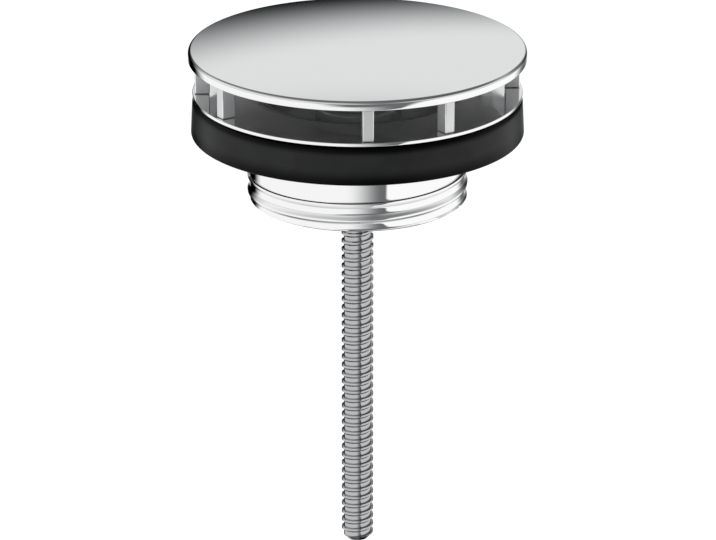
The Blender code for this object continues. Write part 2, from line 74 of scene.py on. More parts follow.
# Cover cap
CROWN_RADIUS = 0.34
EDGE_ROUND = 0.00065
RIM_HEIGHT = 0.00115
RIM_CURVE = 0.012
RIM_TOP_SLOPE = 3.3
LAND_WIDTH = 0.0047
RECESS_DEPTH = 0.0012
BOSS_RADIUS = 0.0034
BOSS_HOLE_RADIUS = 0.0018
BOSS_HOLE_DEPTH = 0.0080
BOSS_SPARE = 0.0003

# Posts
POST_WIDTH = 0.0021
POST_DEPTH = 0.0028
POST_SETBACK = 0.0027
POST_EDGE = 0.0002
FOOT_GAP = 0.00008
FIRST_PAIR = math.radians(18.7)
HALF_PAIR = math.radians(15)
PAIRS = 4

# Insert
INSERT_BORE = 0.0037
INSERT_GAP = 0.00005

# Dish
SHEET = 0.0007
THROAT_RADIUS = 0.0182
BEND_RADIUS = 0.00165
LIP_RADIUS = 0.0160
FLANGE_EDGE = 0.00012
DISH_SEAT_GAP = 0.0003

# Seal, whose side stands a little proud of the solid's
SEAL_BORE = 0.02125
SEAL_TAPER = 0.00035
SEAL_TOP_ROUND = 0.0011
SEAL_FOOT_ROUND = 0.00035
SEAL_SWELL = 0.00016

# Collar
COLLAR_RADIUS = 0.0207
COLLAR_BORE = 0.0185
COLLAR_LOWER_BORE = 0.0177
COLLAR_LOWER_DEPTH = 0.0022
COLLAR_SHOULDER = 0.0013
COLLAR_CHAMFER = 0.0002
COLLAR_ENTRY_ROUND = 0.00135
COLLAR_PITCH = 0.00302
COLLAR_THREAD_HEIGHT = 0.00045
COLLAR_THREAD_START = 0.00014
COLLAR_THREAD_TURNS = (-0.42, 2.25)
COLLAR_RUNOUT_TURNS = 0.07
COLLAR_LEAD_SLOPE = 1.6
COLLAR_THREAD_ROUND = 0.05
COLLAR_WORN_TURNS = (0.9, 1.6)
COLLAR_WORN_ROUND = 0.12
collar_sharp_shares = (-0.26, -0.065, 0.085, 0.11)
collar_worn_shares = (-0.24, -0.080, 0.050, 0.31)

# Bridge
RING_OUTER = 0.0172
RING_LOW = LIP_LOW + SHEET + DISH_SEAT_GAP
RING_HEIGHT = 0.0030
SKIRT_RADIUS = 0.0157
SKIRT_BORE = 0.0138
SKIRT_END = 0.0004
GROOVE_RADIUS = 0.0150
GROOVE_SPARE = 0.0003
HUB_RADIUS = 0.0082
HUB_BORE = 0.0063
HUB_FLOOR = 0.0054
ARM_WIDTH = 0.0030
ARM_HEIGHT = 0.0056
ARM_SETBACK = 0.0003
ARM_BURY = 0.0010
ARM_EDGE = 0.0006
ARMS = 4

# Circlip
CLIP_BORE = 0.0153
CLIP_OPENING = 0.0080

# Clamp screw
SCREW_RADIUS = 0.0030
SCREW_BORE = 0.00335
SCREW_PITCH = 0.0017186
SCREW_THREAD_HEIGHT = 0.00044
SCREW_THREAD_START = -0.00031
ROD_SWELL = 0.0001
HEAD_RADIUS = 0.0050
HEAD_HEIGHT = 0.0036
SOCKET_RADIUS = 0.0029
SOCKET_DEPTH = 0.0022
SHANK_SPARE = 0.0003
SHANK_END = RETAINER_LOW - SHANK_SPARE
TIP_CHAMFER = 0.0005
TIP_LEAD_SLOPE = 0.9
KEEPER_GAP = 0.00002
SCREW_ROOT_ROUND = 0.015
SCREW_CREST_ROUND = 0.025
screw_shares = (-0.42, -0.175, 0.065, 0.09)

# Stem
STEM_RADIUS = 0.0060
STEM_COLLAR_THICKNESS = 0.0009
STEM_CHAMFER = 0.0005
COUNTERBORE_RADIUS = 0.0029
COUNTERBORE_DEPTH = 0.0024
STEM_WEB = 0.0012
GROOVE_DEPTH = 0.00155
GROOVE_HALF = 0.0010
RING_SECTION = 0.0007
RING_CENTRE = 0.00545
RING_HEIGHTS = {"stem_o_ring_lower": 0.0018, "stem_o_ring_upper": 0.0051}
FIXING_RADIUS = 0.0015
FIXING_HEAD_RADIUS = 0.0026
FIXING_HEAD_HEIGHT = 0.0017
FIXING_SOCKET_RADIUS = 0.0013
FIXING_SOCKET_DEPTH = 0.0010
FIXING_PITCH = 0.0005
FIXING_THREAD_HEIGHT = 0.0002
fixing_shares = (-0.425, -0.075, 0.075, 0.425)

# Small rounds and the fineness of the grids
FINE_ROUND = 0.00012
SMALL_ROUND = 0.00025
WELD = 0.0000001
LARGE_COLUMNS = 288
SMALL_COLUMNS = 96
ROD_COLUMNS = 64
ARC_STEPS = 6
CROWN_STEPS = 28
THREAD_ROUND_STEPS = 3
SHARP_THREAD_ROUND = 0.02
SHARP_ANGLE = math.radians(38)


# Outlines: arrays of (radius, height)


def arc(centre, radius, start, end, steps):
    """Points centre + radius * (cos a, sin a) for angles a in degrees from start to end."""
    angles = np.radians(np.linspace(start, end, steps + 1))
    return np.stack([centre[0] + radius * np.cos(angles), centre[1] + radius * np.sin(angles)], axis=1)


def rounded(corners, closed=True, steps=ARC_STEPS):
    """An outline through (radius, height, round) corners, each replaced by an arc tangent to its two sides.

    With unit vectors u and v along the sides and the angle t between them, the arc's centre lies
    round / sin(t / 2) from the corner along u + v, and its points turn evenly between the tangents.
    """
    points = []
    count = len(corners)
    for index, (radius, height, size) in enumerate(corners):
        corner = np.array([radius, height])
        at_end = not closed and index in (0, count - 1)
        if size == 0 or at_end:
            points.append(corner[None])
            continue
        u = np.array(corners[index - 1][:2]) - corner
        v = np.array(corners[(index + 1) % count][:2]) - corner
        u /= np.linalg.norm(u)
        v /= np.linalg.norm(v)
        half = math.acos(np.clip(u @ v, -1, 1)) / 2
        centre = corner + (u + v) / np.linalg.norm(u + v) * size / math.sin(half)
        first = corner + u * size / math.tan(half) - centre
        last = corner + v * size / math.tan(half) - centre
        turn = math.pi - 2 * half
        share = np.linspace(0, 1, steps + 1)[:, None]
        weights = np.sin((1 - share) * turn) * first + np.sin(share * turn) * last
        points.append(centre + weights / math.sin(turn))
    return np.concatenate(points)


def ring_section(outer, inner, low, high):
    """A rectangle with small rounds on all four corners."""
    return rounded([
        (outer, high, FINE_ROUND),
        (outer, low, FINE_ROUND),
        (inner, low, FINE_ROUND),
        (inner, high, FINE_ROUND),
    ])


# Surfaces: grids of rows by columns by 3


def around(azimuth, radius):
    return radius * np.sin(azimuth), -radius * np.cos(azimuth)


def turned(outline, columns, closed=True):
    """An outline turned about Z: (r sin a, -r cos a, z) for every azimuth a of a full turn."""
    if closed:
        outline = np.concatenate([outline, outline[:1]])
    azimuth = np.linspace(0, 2 * math.pi, columns + 1)[None, :]
    x, y = around(azimuth, outline[:, :1])
    return np.stack([x, y, np.broadcast_to(outline[:, 1:], x.shape)], axis=2)


def hex_turned(outline, flats, columns):
    """An outline turned about Z, whose rows marked in flats are hexagons.

    Across a flat the radius is the hexagon's apothem over the cosine of the angle from its middle.
    """
    azimuth = np.linspace(0, 2 * math.pi, columns + 1)[None, :]
    sixth = math.pi / 3
    off_flat = np.mod(azimuth, sixth) - sixth / 2
    shape = np.where(flats[:, None], math.cos(sixth / 2) / np.cos(off_flat), 1.0)
    x, y = around(azimuth, outline[:, :1] * shape)
    return np.stack([x, y, np.broadcast_to(outline[:, 1:], x.shape)], axis=2)


def thread_outline(shares, root_round, crest_round):
    """One pitch of a thread as (phase, height share): a root, two flanks and a crest with rounded corners.

    shares are the phases at which the lower flank begins and ends and the upper one begins and ends.
    """
    lower_base, lower_crest, upper_crest, upper_base = shares
    corners = [
        (-0.5, 0, 0),
        (lower_base, 0, root_round),
        (lower_crest, 1, crest_round),
        (upper_crest, 1, crest_round),
        (upper_base, 0, root_round),
        (0.5, 0, 0),
    ]
    return rounded(corners, closed=False, steps=THREAD_ROUND_STEPS)


def height_at(outline, phase):
    return np.interp(phase, outline[:, 0], outline[:, 1])


def threaded(phases, pitch, start, low, high, columns, radius_at):
    """A tube from low to high with a right-hand thread.

    Rows follow the helix: z = start + pitch * (phase + turn + (azimuth - quarter) / full turn), held
    between low and high. radius_at(phase, turns along the thread, z) gives each point's radius, where
    the phase is the point's own share of a pitch above or below the thread's middle.
    """
    azimuth = np.linspace(0, 2 * math.pi, columns + 1)[None, :]
    lift = azimuth / (2 * math.pi) - 0.25
    turns = np.arange(math.floor((low - start) / pitch) - 2, math.ceil((high - start) / pitch) + 3)
    rows = (turns[:, None] + phases[None, :-1]).reshape(-1, 1)
    z = np.clip(start + pitch * (rows + lift), low, high)
    place = (z - start) / pitch - lift
    turn = np.round(place)
    radius = radius_at(place - turn, turn + lift, z)
    x, y = around(np.broadcast_to(azimuth, z.shape), radius)
    return np.stack([x, y, z], axis=2)


def smooth(low, high, value):
    """0 below low, 1 above high and 3 t^2 - 2 t^3 between."""
    t = np.clip((value - low) / (high - low), 0, 1)
    return t * t * (3 - 2 * t)


def bar(size, edge, middle, azimuth, steps=4):
    """A box with round edges, turned about Z.

    Each eighth of a sphere of the edge's radius is moved to its corner of the box, the flat faces span
    the gaps, and both ends close at their middle.
    """
    half = np.array(size) / 2 - edge
    quarter = np.linspace(0, math.pi / 2, steps + 1)
    around_sides = np.concatenate([quarter + k * math.pi / 2 for k in range(4)] + [[2 * math.pi]])
    corner_x = np.repeat([1, -1, -1, 1], steps + 1)
    corner_y = np.repeat([1, 1, -1, -1], steps + 1)
    corner_x = np.append(corner_x, 1)[None, :]
    corner_y = np.append(corner_y, 1)[None, :]
    tilt = np.concatenate([quarter, quarter + math.pi / 2])[:, None]
    corner_z = np.repeat([1, -1], steps + 1)[:, None]
    x = corner_x * half[0] + edge * np.sin(tilt) * np.cos(around_sides)
    y = corner_y * half[1] + edge * np.sin(tilt) * np.sin(around_sides)
    z = np.broadcast_to(corner_z * half[2] + edge * np.cos(tilt), x.shape)
    grid = np.stack([x, y, z], axis=2)
    cap = np.zeros((1, grid.shape[1], 3))
    top, low = cap.copy(), cap.copy()
    top[..., 2], low[..., 2] = half[2] + edge, -half[2] - edge
    grid = np.concatenate([top, grid, low])
    cos, sin = math.cos(azimuth), math.sin(azimuth)
    turn = np.array([[cos, sin, 0], [-sin, cos, 0], [0, 0, 1]])
    return grid @ turn + np.array(middle)


def mesh_of(name, grids):
    """One mesh from grids of points: quads between neighbours, then what coincides is welded."""
    corners = []
    offset = 0
    for grid in grids:
        rows, columns = grid.shape[:2]
        index = offset + np.arange(rows * columns).reshape(rows, columns)
        quads = [index[:-1, :-1], index[:-1, 1:], index[1:, 1:], index[1:, :-1]]
        corners.append(np.stack([quad.ravel() for quad in quads], axis=1))
        offset += rows * columns
    points = np.concatenate([grid.reshape(-1, 3) for grid in grids])
    corners = np.concatenate(corners)
    mesh = bpy.data.meshes.new(name)
    mesh.vertices.add(len(points))
    mesh.vertices.foreach_set("co", points.astype(np.float32).ravel())
    mesh.loops.add(corners.size)
    mesh.loops.foreach_set("vertex_index", corners.astype(np.int32).ravel())
    mesh.polygons.add(len(corners))
    mesh.polygons.foreach_set("loop_start", np.arange(0, corners.size, 4, dtype=np.int32))
    mesh.update(calc_edges=True)
    work = bmesh.new()
    work.from_mesh(mesh)
    bmesh.ops.remove_doubles(work, verts=work.verts, dist=WELD)
    bmesh.ops.dissolve_degenerate(work, edges=work.edges, dist=WELD)
    bmesh.ops.recalc_face_normals(work, faces=work.faces)
    work.to_mesh(mesh)
    work.free()
    mesh.shade_smooth()
    mesh.set_sharp_from_angle(angle=SHARP_ANGLE)
    return mesh


def piece(name, grids, material, body, nodes, weighted=True):
    """A finished piece that stands for CAD nodes and rides on their body."""
    obj = bpy.data.objects.new(name, mesh_of(name, grids))
    bpy.context.scene.collection.objects.link(obj)
    obj.data.materials.append(material)
    if weighted:
        normals = obj.modifiers.new("flat_faces_first", "WEIGHTED_NORMAL")
        normals.keep_sharp = True
    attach(obj, body)
    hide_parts(*nodes)
    return obj


# Node helpers

# Patches are counted to a metre, depths are in metres
NOISE_MIDDLE = (0.35, 0.65)
HAZE_PER_PATCH = 14.0
PATCH_SHARE = 0.7
MARK_SCALE = 3.0
MARK_PATCHES = 300.0
TURNING_DEPTH = 0.00001
GRAIN_DEPTH = 0.00002
SHINE_PATCHES = 60.0
SATIN_PATCHES = 250.0
LEAST_CLOUD = 0.8


def new_node(tree, kind, inputs=None, **settings):
    """A node with its settings, whose inputs are set to values or linked to other sockets."""
    node = tree.nodes.new(kind)
    for key, value in settings.items():
        setattr(node, key, value)
    for key, value in (inputs or {}).items():
        if isinstance(value, bpy.types.NodeSocket):
            tree.links.new(value, node.inputs[key])
        else:
            node.inputs[key].default_value = value
    return node


def calc(tree, operation, *values):
    return new_node(tree, "ShaderNodeMath", dict(enumerate(values)), operation=operation).outputs[0]


def ramp(tree, value, low, high, start=0.0, end=1.0, kind="SMOOTHSTEP"):
    """start where value is low, end where it is high, and a smooth change between."""
    inputs = {"Value": value, "From Min": low, "From Max": high, "To Min": start, "To Max": end}
    return new_node(tree, "ShaderNodeMapRange", inputs, interpolation_type=kind).outputs["Result"]


def blend_values(tree, share, first, second):
    return new_node(tree, "ShaderNodeMix", {0: share, 2: first, 3: second}, data_type="FLOAT").outputs[0]


def noise(tree, place, scale, detail, roughness=0.5):
    """Cloudy values round a half, with so many cells to a metre."""
    inputs = {"Vector": place, "Scale": scale, "Detail": detail, "Roughness": roughness}
    return new_node(tree, "ShaderNodeTexNoise", inputs).outputs["Fac"]


def new_group(name, inputs, outputs):
    group = bpy.data.node_groups.new(name, "ShaderNodeTree")
    for label, default in inputs.items():
        socket = group.interface.new_socket(label, in_out="INPUT", socket_type="NodeSocketFloat")
        socket.default_value = default
    for label in outputs:
        group.interface.new_socket(label, in_out="OUTPUT", socket_type="NodeSocketFloat")
    return group, group.nodes.new("NodeGroupInput").outputs, group.nodes.new("NodeGroupOutput").inputs


def polish_group():
    """Handling marks on bright metal: a soft cloud of wiped patches and fine cloudy haze as one value."""
    inputs = {"Patches": SHINE_PATCHES, "Low": 0.03, "High": 0.07}
    group, values, results = new_group("polish_haze", inputs, ["Roughness"])
    place = new_node(group, "ShaderNodeTexCoord").outputs["Object"]
    patches = noise(group, place, values["Patches"], detail=3.0)
    fine = calc(group, "MULTIPLY", values["Patches"], HAZE_PER_PATCH)
    haze = noise(group, place, fine, detail=2.0)
    both = calc(group, "ADD", calc(group, "MULTIPLY", patches, PATCH_SHARE),
                calc(group, "MULTIPLY", haze, 1 - PATCH_SHARE))
    group.links.new(ramp(group, both, *NOISE_MIDDLE, values["Low"], values["High"]), results["Roughness"])
    return group


def turning_group():
    """Marks of a lathe: rings along the radius and the height, uneven in depth, as a bump height."""
    group, values, results = new_group("turning_marks", {"Rings": 900.0, "Unevenness": 0.4}, ["Height"])
    place = new_node(group, "ShaderNodeTexCoord").outputs["Object"]
    parts = new_node(group, "ShaderNodeSeparateXYZ", {0: place}).outputs
    across = calc(group, "ADD", calc(group, "MULTIPLY", parts["X"], parts["X"]),
                  calc(group, "MULTIPLY", parts["Y"], parts["Y"]))
    reach = calc(group, "ADD", calc(group, "SQRT", across), parts["Z"])
    along = new_node(group, "ShaderNodeCombineXYZ", {"X": calc(group, "MULTIPLY", reach, values["Rings"])})
    rings = noise(group, along.outputs[0], MARK_SCALE, detail=2.0)
    patchy = noise(group, place, MARK_PATCHES, detail=1.0)
    depth = calc(group, "SUBTRACT", 1.0, calc(group, "MULTIPLY", patchy, values["Unevenness"]))
    group.links.new(calc(group, "MULTIPLY", rings, depth), results["Height"])
    return group


def grain_group():
    """The skin of a moulded piece: fine pits and a broad unevenness, as a bump height and a mask."""
    inputs = {"Pits": 6000.0, "Clouds": 150.0}
    group, values, results = new_group("moulded_grain", inputs, ["Height", "Cloud"])
    place = new_node(group, "ShaderNodeTexCoord").outputs["Object"]
    pits = noise(group, place, values["Pits"], detail=3.0, roughness=0.6)
    group.links.new(pits, results["Height"])
    cloud = noise(group, place, values["Clouds"], detail=4.0)
    group.links.new(ramp(group, cloud, *NOISE_MIDDLE), results["Cloud"])
    return group


POLISH = polish_group()
TURNING = turning_group()
GRAIN = grain_group()


def new_material(name, **values):
    """A material with a plain Principled shader, whose fixed values are set on its own sockets."""
    material = bpy.data.materials.new(name)
    material.use_nodes = True
    tree = material.node_tree
    shader = tree.nodes["Principled BSDF"]
    for label, value in values.items():
        shader.inputs[label.replace("_", " ")].default_value = value
    return material, tree, shader


def use_group(tree, group, inputs=None):
    node = new_node(tree, "ShaderNodeGroup", node_tree=group)
    for label, value in (inputs or {}).items():
        node.inputs[label].default_value = value
    return node.outputs


def add_bump(tree, shader, height, strength, distance):
    bump = new_node(tree, "ShaderNodeBump", {"Height": height, "Strength": strength, "Distance": distance})
    tree.links.new(bump.outputs["Normal"], shader.inputs["Normal"])


def tint(tree, shader, mask, dark, light):
    """Base colour between two colours by a mask."""
    mix = new_node(tree, "ShaderNodeMix", {0: mask, 6: dark, 7: light}, data_type="RGBA")
    tree.links.new(mix.outputs[2], shader.inputs["Base Color"])


def uneven_shine(tree, roughness, patches):
    """Roughness between two values in wiped patches, of which there are so many to a metre."""
    low, high = roughness
    return use_group(tree, POLISH, {"Patches": patches, "Low": low, "High": high})["Roughness"]


def bright_metal(name, colour, shine, patches, rings=None):
    """Metal with a wiped, slightly uneven shine, with turning marks where it came from a lathe."""
    material, tree, shader = new_material(name, Base_Color=colour, Metallic=1.0)
    tree.links.new(uneven_shine(tree, shine, patches), shader.inputs["Roughness"])
    if rings:
        strength, spacing = rings
        marks = use_group(tree, TURNING, {"Rings": spacing})
        add_bump(tree, shader, marks["Height"], strength, TURNING_DEPTH)
    return material


def moulded(name, dark, light, roughness, level, strength):
    """Rubber or plastic with a fine moulded grain and a faint cloudiness of colour."""
    material, tree, shader = new_material(name, Roughness=roughness, Specular_IOR_Level=level)
    skin = use_group(tree, GRAIN)
    tint(tree, shader, skin["Cloud"], dark, light)
    add_bump(tree, shader, skin["Height"], strength, GRAIN_DEPTH)
    return material


def rubber_with_painted_shade(name, shade_colour, lit_colour, roughness, level, strength):
    """Rubber that is darker near the metal above and round the foot, with a faint cloudiness of tone. The
    darkening is painted shade: the flange's shadow at the top and the shade of the downward-facing foot.
    """
    material, tree, shader = new_material(name, Roughness=roughness, Specular_IOR_Level=level)
    skin = use_group(tree, GRAIN)
    place = new_node(tree, "ShaderNodeTexCoord").outputs["Object"]
    height = new_node(tree, "ShaderNodeSeparateXYZ", {0: place}).outputs["Z"]
    # Painted shade: 0 just under the flange and at the foot, 1 on the middle of the side
    unshaded = calc(tree, "MULTIPLY", ramp(tree, height, *SEAL_SHADE_TOP, 1.0, 0.0), ramp(tree, height, *SEAL_SHADE_FOOT))
    cloud = ramp(tree, skin["Cloud"], 0.0, 1.0, LEAST_CLOUD, 1.0, "LINEAR")
    tint(tree, shader, calc(tree, "MULTIPLY", unshaded, cloud), shade_colour, lit_colour)
    add_bump(tree, shader, skin["Height"], strength, GRAIN_DEPTH)
    return material


def part_polished(name, satin_or_shade, satin, mask_of, haze_of=None):
    """Bright chrome with a rougher stretch in another colour, where mask_of gives 1, and with the added
    roughness of haze_of. On the dish's throat and the cap's underside that colour is painted shade; on the
    posts it is the satin's own near-chrome colour.
    """
    material, tree, shader = new_material(name, Metallic=1.0)
    mask = mask_of(tree)
    polished = uneven_shine(tree, SHINE, SHINE_PATCHES)
    if haze_of:
        polished = calc(tree, "ADD", polished, haze_of(tree))
    tint(tree, shader, mask, CHROME_COLOUR, satin_or_shade)
    rough = blend_values(tree, mask, polished, uneven_shine(tree, satin, SATIN_PATCHES))
    tree.links.new(rough, shader.inputs["Roughness"])
    return material


def radius_of(tree):
    """Distance from the valve's axis."""
    place = new_node(tree, "ShaderNodeTexCoord").outputs["Object"]
    flat = new_node(tree, "ShaderNodeVectorMath", {0: place, 1: (1, 1, 0)}, operation="MULTIPLY").outputs[0]
    return new_node(tree, "ShaderNodeVectorMath", {0: flat}, operation="LENGTH").outputs["Value"]


def throat_shade_mask(tree):
    """1 on the dish's bend and throat, where the radius is under the flange's flat part. This stretch is
    painted darker as the shade under the cover.
    """
    return ramp(tree, radius_of(tree), *THROAT_SHADE_RADII, 1.0, 0.0)


def inner_flange(tree):
    """The roughness that the polishing wheel leaves on the inner half of the dish's flange."""
    return ramp(tree, radius_of(tree), *HAZY_FLANGE, FLANGE_HAZE, 0.0)


def underside_shade_mask(tree):
    """1 on the cap's underside, where the normal points down. This side is painted darker as shade."""
    normal = new_node(tree, "ShaderNodeTexCoord").outputs["Normal"]
    downward = new_node(tree, "ShaderNodeSeparateXYZ", {0: normal}).outputs["Z"]
    return ramp(tree, downward, *UNDERSIDE_SHADE_NORMAL, 1.0, 0.0)


def flat_of_post(tree):
    """1 on a post's outer and side faces and 0 on its edges and back, by the normal against the radius."""
    coordinates = new_node(tree, "ShaderNodeTexCoord").outputs
    flat = new_node(tree, "ShaderNodeVectorMath", {0: coordinates["Object"], 1: (1, 1, 0)},
                    operation="MULTIPLY").outputs[0]
    radial = new_node(tree, "ShaderNodeVectorMath", {0: flat}, operation="NORMALIZE")
    facing = new_node(tree, "ShaderNodeVectorMath", {0: coordinates["Normal"], 1: radial.outputs[0]},
                      operation="DOT_PRODUCT").outputs["Value"]
    side = ramp(tree, calc(tree, "ABSOLUTE", facing), *POST_SIDE, 1.0, 0.0)
    return calc(tree, "MAXIMUM", side, ramp(tree, facing, *POST_OUTSIDE))


# Heights and radii between which a look changes, and how far a normal points down or outwards there
# Heights of the seal's painted shade: darker just under the flange, where its shadow falls, and round the
# foot, which faces down
SEAL_SHADE_TOP = (SEAL_TOP - 0.0018, SEAL_TOP - 0.0006)
SEAL_SHADE_FOOT = (0.0004, 0.0032)
# Radii of the dish's throat, which is painted darker as the shade under the cover
THROAT_SHADE_RADII = (0.0198, 0.0212)
HAZY_FLANGE = (0.024, 0.0295)
FLANGE_HAZE = 0.14
# How far down the normal points where the cap's underside is painted darker as shade
UNDERSIDE_SHADE_NORMAL = (-0.8, -0.5)
POST_SIDE = (0.15, 0.35)
POST_OUTSIDE = (0.9, 0.97)

# Colours, and roughness from the shiniest to the dullest spot
CHROME_COLOUR = (0.963, 0.957, 0.955, 1)
# Painted shade on the dish's throat, under the cover
THROAT_SHADE_COLOUR = (0.42, 0.423, 0.428, 1)
# Painted shade on the cap's underside
UNDERSIDE_SHADE_COLOUR = (0.14, 0.145, 0.15, 1)
DULL_POST = (0.93, 0.935, 0.94, 1)
PLATED_BRASS = (0.80, 0.805, 0.81, 1)
STAINLESS_STEEL = (0.51, 0.515, 0.52, 1)
SPRING_STEEL = (0.45, 0.46, 0.48, 1)
# The next two are the seal's colours: a near-black painted shade for its top and foot, and the colour of its
# lit side
SHADED_RUBBER = (0.0005, 0.0006, 0.0006, 1)
LIT_RUBBER = (0.022, 0.0225, 0.0225, 1)
RING_COLOURS = ((0.010, 0.010, 0.010, 1), (0.014, 0.014, 0.014, 1))
PLASTIC_COLOURS = ((0.28, 0.283, 0.288, 1), (0.33, 0.333, 0.338, 1))
FIBRE_COLOURS = ((0.13, 0.128, 0.124, 1), (0.18, 0.176, 0.170, 1))
SHINE = (0.02, 0.05)
DISH_SATIN = (0.45, 0.55)
CAP_SATIN = (0.30, 0.40)
POST_SATIN = (0.50, 0.58)
BRASS_SATIN = (0.50, 0.60)
SPRING_SATIN = (0.25, 0.35)

CHROME = bright_metal("polished_chrome", CHROME_COLOUR, SHINE, SHINE_PATCHES)
DISH_CHROME = part_polished("dish_chrome", THROAT_SHADE_COLOUR, DISH_SATIN, throat_shade_mask, inner_flange)
CAP_CHROME = part_polished("cap_chrome", UNDERSIDE_SHADE_COLOUR, CAP_SATIN, underside_shade_mask)
POST_CHROME = part_polished("post_chrome", DULL_POST, POST_SATIN, flat_of_post)
BRASS = bright_metal("plated_brass", PLATED_BRASS, BRASS_SATIN, patches=90.0, rings=(0.25, 1200.0))
STEEL = bright_metal("screw_steel", STAINLESS_STEEL, SHINE, patches=220.0)
SPRING = bright_metal("spring_steel", SPRING_STEEL, SPRING_SATIN, patches=200.0)
SEAL_RUBBER = rubber_with_painted_shade("seal_rubber", SHADED_RUBBER, LIT_RUBBER, roughness=0.30, level=0.10,
                             strength=0.25)
RING_RUBBER = moulded("ring_rubber", *RING_COLOURS, roughness=0.42, level=0.5, strength=0.15)
PLASTIC = moulded("insert_plastic", *PLASTIC_COLOURS, roughness=0.55, level=0.2, strength=0.3)
FIBRE = moulded("retainer_fibre", *FIBRE_COLOURS, roughness=0.7, level=0.3, strength=0.5)


# Cover

EDGE_REACH = CROWN_RADIUS - EDGE_ROUND
LAND = CROWN_TOP - RIM_HEIGHT - CROWN_RADIUS + math.sqrt(EDGE_REACH**2 - (COVER_RADIUS - EDGE_ROUND)**2)
RECESS_RADIUS = COVER_RADIUS - LAND_WIDTH


def cap_edge():
    """The cap's outside: a shallow sphere, a small round edge and a barely bulging rim.

    Each is tangent to the next, so the edge's centre lies one edge radius inside both the sphere and
    the rim's circle.
    """
    top_slope = math.radians(RIM_TOP_SLOPE)
    rim_centre = COVER_RADIUS - RIM_CURVE
    radius = rim_centre + (RIM_CURVE - EDGE_ROUND) * math.cos(top_slope)
    height = CROWN_TOP - CROWN_RADIUS + math.sqrt(EDGE_REACH**2 - radius**2)
    rim_height = height - (RIM_CURVE - EDGE_ROUND) * math.sin(top_slope)
    crown_end = math.degrees(math.acos(radius / EDGE_REACH))
    foot_slope = math.degrees(math.asin((LAND + FINE_ROUND - rim_height) / RIM_CURVE))
    crown = arc((0, CROWN_TOP - CROWN_RADIUS), CROWN_RADIUS, 90, crown_end, CROWN_STEPS)
    edge = arc((radius, height), EDGE_ROUND, crown_end, RIM_TOP_SLOPE, 3 * ARC_STEPS)
    rim = arc((rim_centre, rim_height), RIM_CURVE, RIM_TOP_SLOPE, foot_slope, ARC_STEPS)
    return np.concatenate([crown, edge[1:], rim[1:]])


def cover_cap():
    """Outside of crown, edge and rim; a land, a recess and a hollow boss below."""
    outside = cap_edge()
    ceiling = LAND + RECESS_DEPTH
    hole_top = BOSS_END + BOSS_HOLE_DEPTH
    under = rounded([
        (outside[-1, 0], outside[-1, 1] + FINE_ROUND, 0),
        (outside[-1, 0], LAND, FINE_ROUND),
        (RECESS_RADIUS, LAND, FINE_ROUND),
        (RECESS_RADIUS, ceiling, SMALL_ROUND),
        (BOSS_RADIUS, ceiling, SMALL_ROUND),
        (BOSS_RADIUS, BOSS_END, SMALL_ROUND),
        (BOSS_HOLE_RADIUS, BOSS_END, FINE_ROUND),
        (BOSS_HOLE_RADIUS, hole_top, 0),
        (0, hole_top, 0),
    ], closed=False)
    outline = np.concatenate([outside, under[1:]])
    piece("cap_dome", [turned(outline, LARGE_COLUMNS, closed=False)], CAP_CHROME, "cover", ["cover_cap"])


def cover_insert():
    """A thin plate that fills the recess up to a hairline gap."""
    radius = RECESS_RADIUS - INSERT_GAP
    outline = rounded([
        (INSERT_BORE, INSERT_LOW, FINE_ROUND),
        (radius, INSERT_LOW, FINE_ROUND / 2),
        (radius, INSERT_HIGH, FINE_ROUND),
        (INSERT_BORE, INSERT_HIGH, FINE_ROUND),
    ])
    piece("insert_plate", [turned(outline, LARGE_COLUMNS)], PLASTIC, "cover", ["cover_insert"])


def cover_posts():
    """Eight bars in pairs between the dish's floor and the cap's land."""
    low = FLOOR + FOOT_GAP
    azimuths = [FIRST_PAIR + pair * 2 * math.pi / PAIRS + side * HALF_PAIR
                for pair in range(PAIRS) for side in (-1, 1)]
    for number, azimuth in enumerate(azimuths, start=1):
        x, y = around(azimuth, COVER_RADIUS - POST_SETBACK)
        middle = (x, y, (low + LAND) / 2)
        grid = bar((POST_WIDTH, POST_DEPTH, LAND - low), POST_EDGE, middle, azimuth)
        piece(f"post_bar_{number}", [grid], POST_CHROME, "cover", [f"cover_post_{number}"])


def cover_stem():
    """The sleeve with its collar, two ring grooves, counterbore, web and bore."""
    web = STEM_TIP + COUNTERBORE_DEPTH
    corners = [
        (STEM_FLANGE, STEM_TOP, FINE_ROUND),
        (STEM_FLANGE, STEM_TOP - STEM_COLLAR_THICKNESS, FINE_ROUND),
        (STEM_RADIUS, STEM_TOP - STEM_COLLAR_THICKNESS, SMALL_ROUND),
    ]
    for height in sorted(RING_HEIGHTS.values(), reverse=True):
        middle = STEM_TIP + height
        corners += [
            (STEM_RADIUS, middle + GROOVE_HALF, FINE_ROUND),
            (STEM_RADIUS - GROOVE_DEPTH, middle + GROOVE_HALF, FINE_ROUND),
            (STEM_RADIUS - GROOVE_DEPTH, middle - GROOVE_HALF, FINE_ROUND),
            (STEM_RADIUS, middle - GROOVE_HALF, FINE_ROUND),
        ]
    corners += [
        (STEM_RADIUS, STEM_TIP + STEM_CHAMFER, FINE_ROUND),
        (STEM_RADIUS - STEM_CHAMFER, STEM_TIP, FINE_ROUND),
        (COUNTERBORE_RADIUS, STEM_TIP, FINE_ROUND),
        (COUNTERBORE_RADIUS, web, FINE_ROUND),
        (BOSS_HOLE_RADIUS, web, FINE_ROUND),
        (BOSS_HOLE_RADIUS, web + STEM_WEB, FINE_ROUND),
        (BOSS_RADIUS + BOSS_SPARE, web + STEM_WEB, FINE_ROUND),
        (BOSS_RADIUS + BOSS_SPARE, STEM_TOP, FINE_ROUND),
    ]
    piece("stem_sleeve", [turned(rounded(corners), SMALL_COLUMNS)], PLASTIC, "cover", ["cover_stem"])


